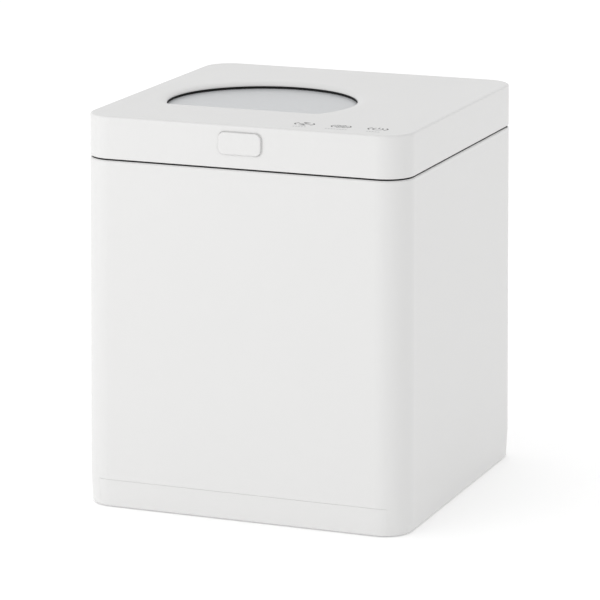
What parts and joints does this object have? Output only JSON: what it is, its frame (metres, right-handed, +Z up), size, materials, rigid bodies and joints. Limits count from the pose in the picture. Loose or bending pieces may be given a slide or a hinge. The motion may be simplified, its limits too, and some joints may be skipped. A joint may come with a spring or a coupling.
{
  "type": "trash compactor",
  "caption": "Countertop trash compactor: boxy casing with a latched hinged lid and D-shaped window, over a bucket whose floor plate is raised by a screw jack.",
  "frame": {"origin": "middle of the footprint, on the plane of the feet's undersides", "axes": "+Z up, +X to the right seen from the front, +Y towards the hinge at the back"},
  "size_m": [0.2842, 0.2874, 0.3294],
  "materials": {
    "casing_plastic": "satin white moulded plastic",
    "inner_plastic": "fine matt light grey moulded plastic",
    "button_plastic": "satin white moulded plastic",
    "window_glass": "grey tinted polished glass",
    "frosted_glass": "frosted toughened glass",
    "black_rubber": "matt black rubber",
    "steel": "ground steel",
    "zinc_screw": "zinc plated",
    "aluminium": "machined and bead blasted",
    "bronze": "turned bronze",
    "black_plastic": "fine matt moulded plastic",
    "circuit_board": "lacquered board",
    "motor_paint": "black enamel",
    "filter_foam": "open black carbon foam"
  },
  "bodies": {
    "casing": {"body_shell": "casing_plastic", "base_tray": "casing_plastic", "front_kick": "casing_plastic", "rubber_feet": "black_rubber", "case_screws": "zinc_screw", "chassis_plate": "aluminium", "chamber_liner": "inner_plastic", "bucket": "inner_plastic", "jack_housing": "steel", "chassis_bolts": "zinc_screw", "screw_bearing": "steel", "gearbox": "motor_paint", "drive_motor": "motor_paint", "drive_belt": "black_rubber", "power_board": "circuit_board", "board_pillars": "black_plastic", "board_components": "black_plastic", "wiring": "black_rubber", "inlet_socket": "black_plastic", "inlet_pins": "bronze", "limit_switches": "black_plastic", "lid_switch": "black_plastic", "fan_frame": "black_plastic", "fan_screws": "zinc_screw", "carbon_filter": "filter_foam", "hinge_brackets": "steel", "hinge_pins": "steel", "hinge_screws": "zinc_screw", "latch_strike": "steel", "strike_screws": "zinc_screw"},
    "lid": {"lid_cover": "casing_plastic", "lid_inner": "inner_plastic", "lid_screws": "zinc_screw", "window_gasket": "black_rubber", "window_glass": "window_glass", "inner_pane": "frosted_glass", "lid_seal": "black_rubber", "touch_board": "circuit_board", "touch_pads": "black_plastic", "latch_pin": "steel", "button_springs": "steel"},
    "button": {"latch_button": "button_plastic"},
    "hook": {"latch_hook": "steel"},
    "mid_stage": {"mid_tube": "steel", "lower_nut": "bronze"},
    "upper_screw": {"mid_screw": "steel"},
    "ram": {"ram_tube": "steel", "ram_nut": "bronze", "ram_head": "aluminium", "press_plate": "aluminium", "plate_wiper": "black_rubber", "plate_screws": "zinc_screw"},
    "spindle": {"lower_screw": "steel", "large_pulley": "aluminium"},
    "motor_shaft": {"motor_pulley": "aluminium"},
    "fan": {"fan_rotor": "black_plastic"},
    "left_handle": {"handle_left": "steel", "grip_left": "black_rubber"},
    "right_handle": {"handle_right": "steel", "grip_right": "black_rubber"}
  },
  "joints": [
    {"name": "lid_hinge", "type": "hinge", "parent": "casing", "child": "lid", "pos_m": [0, 0.1373, 0.3003], "axis": [-1, 0, 0], "range_deg": [0, 98]},
    {"name": "button_push", "type": "slide", "parent": "lid", "child": "button", "axis": [0, 1, 0], "range_m": [0, 0.003], "stiffness_N_per_m": 1200, "springref_m": -0.002, "deforming": ["button_springs"]},
    {"name": "hook_swing", "type": "hinge", "parent": "lid", "child": "hook", "pos_m": [0, -0.131, 0.302], "axis": [-1, 0, 0], "range_deg": [0, 13.51]},
    {"name": "press_rise", "type": "slide", "parent": "casing", "child": "mid_stage", "axis": [0, 0, 1], "range_m": [0, 0.05]},
    {"name": "ram_rise", "type": "slide", "parent": "mid_stage", "child": "ram", "axis": [0, 0, 1], "range_m": [0, 0.05]},
    {"name": "upper_screw_turn", "type": "hinge", "parent": "mid_stage", "child": "upper_screw", "pos_m": [0, 0, 0.07], "axis": [0, 0, 1], "range_deg": [0, 1800]},
    {"name": "spindle_turn", "type": "hinge", "parent": "casing", "child": "spindle", "pos_m": [0, 0, 0.05], "axis": [0, 0, 1], "range_deg": [0, 1800]},
    {"name": "motor_turn", "type": "hinge", "parent": "casing", "child": "motor_shaft", "pos_m": [0.085, 0.08, 0.02], "axis": [0, 0, 1], "range_deg": [0, 6750]},
    {"name": "fan_turn", "type": "hinge", "parent": "casing", "child": "fan", "pos_m": [0, 0.1326, 0.21], "axis": [0, 1, 0], "continuous": true},
    {"name": "left_handle_fold", "type": "hinge", "parent": "casing", "child": "left_handle", "pos_m": [-0.107, 0, 0.262], "axis": [0, -1, 0], "range_deg": [0, 180]},
    {"name": "right_handle_fold", "type": "hinge", "parent": "casing", "child": "right_handle", "pos_m": [0.107, 0, 0.262], "axis": [0, 1, 0], "range_deg": [0, 180]}
  ],
  "couplings": [
    {"joint": "hook_swing", "follows": "button_push", "rad_per_m": 78.54},
    {"joint": "ram_rise", "follows": "press_rise", "ratio": 1},
    {"joint": "upper_screw_turn", "follows": "press_rise", "rad_per_m": 628.32},
    {"joint": "spindle_turn", "follows": "press_rise", "rad_per_m": 628.32},
    {"joint": "motor_turn", "follows": "press_rise", "rad_per_m": 2356.2}
  ]
}
